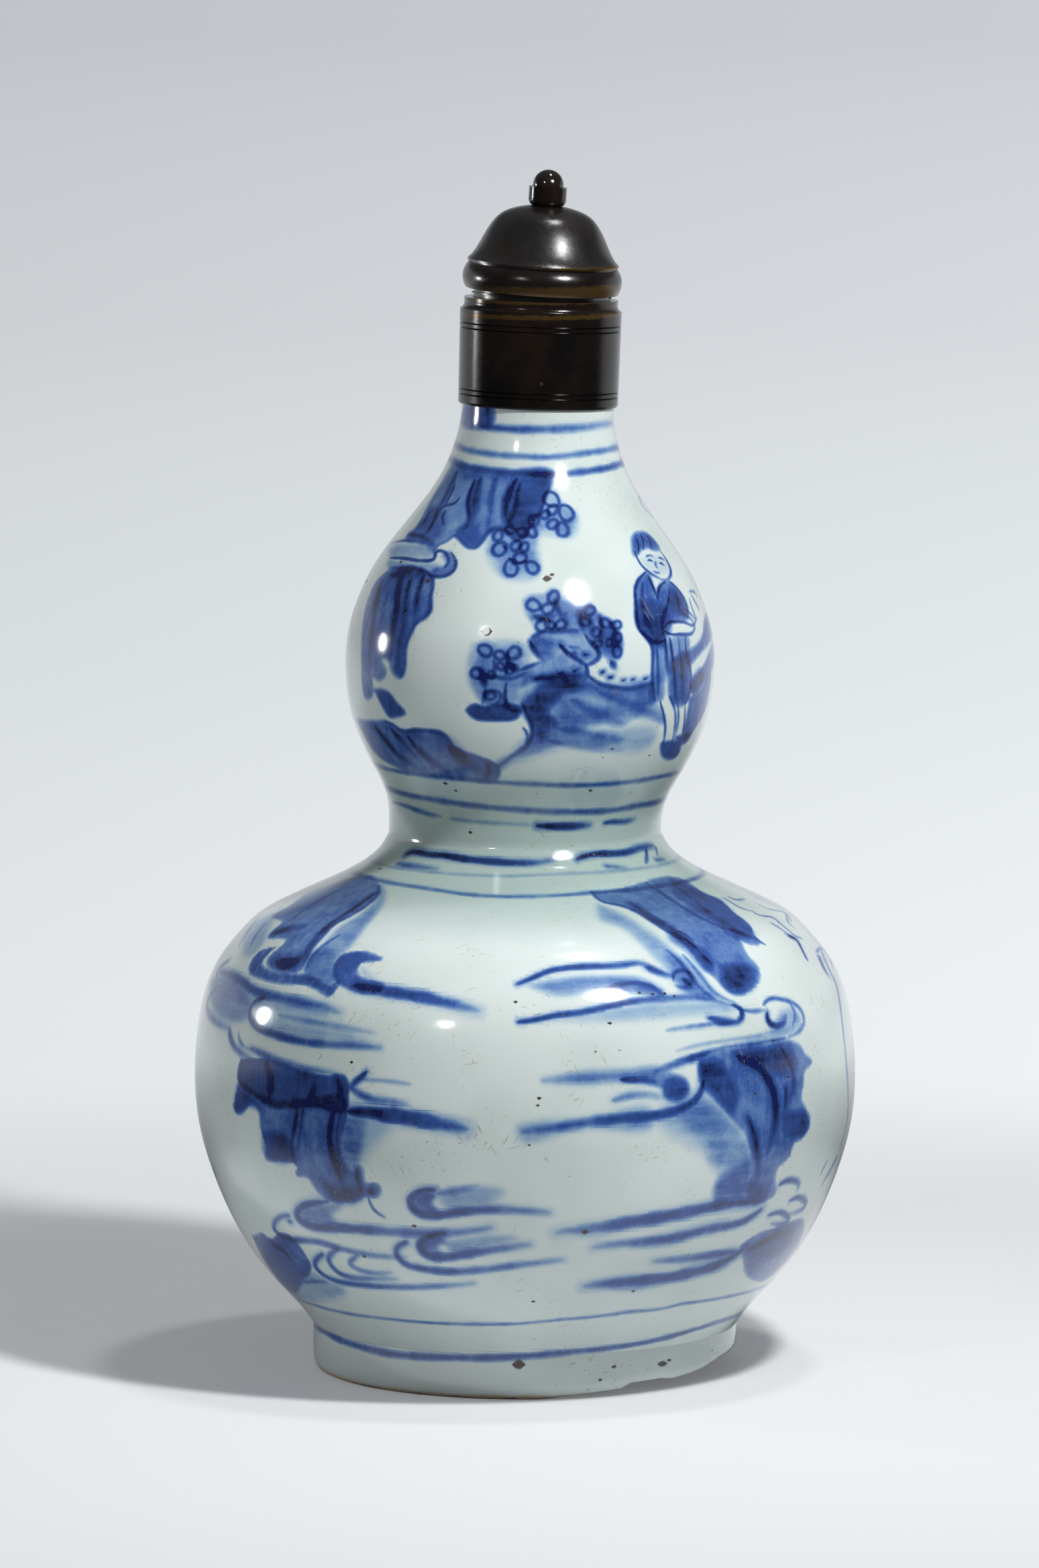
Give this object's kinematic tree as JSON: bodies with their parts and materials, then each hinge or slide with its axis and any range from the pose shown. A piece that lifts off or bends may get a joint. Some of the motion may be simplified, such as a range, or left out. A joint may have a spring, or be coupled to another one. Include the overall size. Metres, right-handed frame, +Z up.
{
  "type": "double gourd vase",
  "caption": "Double gourd porcelain bottle vase with a cut neck in a metal collar and a domed metal cap that screws on.",
  "frame": {"origin": "centre of the foot's underside, on the plane that it stands on", "axes": "+Z up along the lower half's axis; -Y faces the viewer of the picture; the upper half leans towards +X"},
  "size_m": [0.1904, 0.1904, 0.3452],
  "materials": {
    "glazed_porcelain": "clear glaze over blue underglaze painting on pale porcelain",
    "lime_cement": "dry, rough",
    "dark_bronze": "dark brown patina, worn bright on the edges",
    "bright_brass": "worn bright",
    "seal_leather": "oiled, pressed flat"
  },
  "bodies": {
    "vase": {"porcelain_body": "glazed_porcelain", "neck_cement": "lime_cement", "collar": "dark_bronze", "set_pin": "bright_brass", "screw_nipple": "dark_bronze"},
    "seal": {"seal_disc": "seal_leather"},
    "cap": {"cap_thread_ring": "dark_bronze", "cap_rim_ring": "dark_bronze", "cap_dome": "dark_bronze", "finial_cup": "dark_bronze", "finial_ball": "dark_bronze", "finial_washer": "dark_bronze"}
  },
  "joints": [
    {"name": "cap_rise", "type": "slide", "parent": "vase", "child": "seal", "axis": [0.0305, 0, 0.9995], "range_m": [-0.00101, 0.00626]},
    {"name": "cap_turn", "type": "hinge", "parent": "seal", "child": "cap", "pos_m": [0, 0, 0.1565], "axis": [0.0305, 0, 0.9995], "range_deg": [-288, 1800]}
  ],
  "couplings": [
    {"joint": "cap_rise", "follows": "cap_turn", "m_per_rad": 0.00019894}
  ]
}
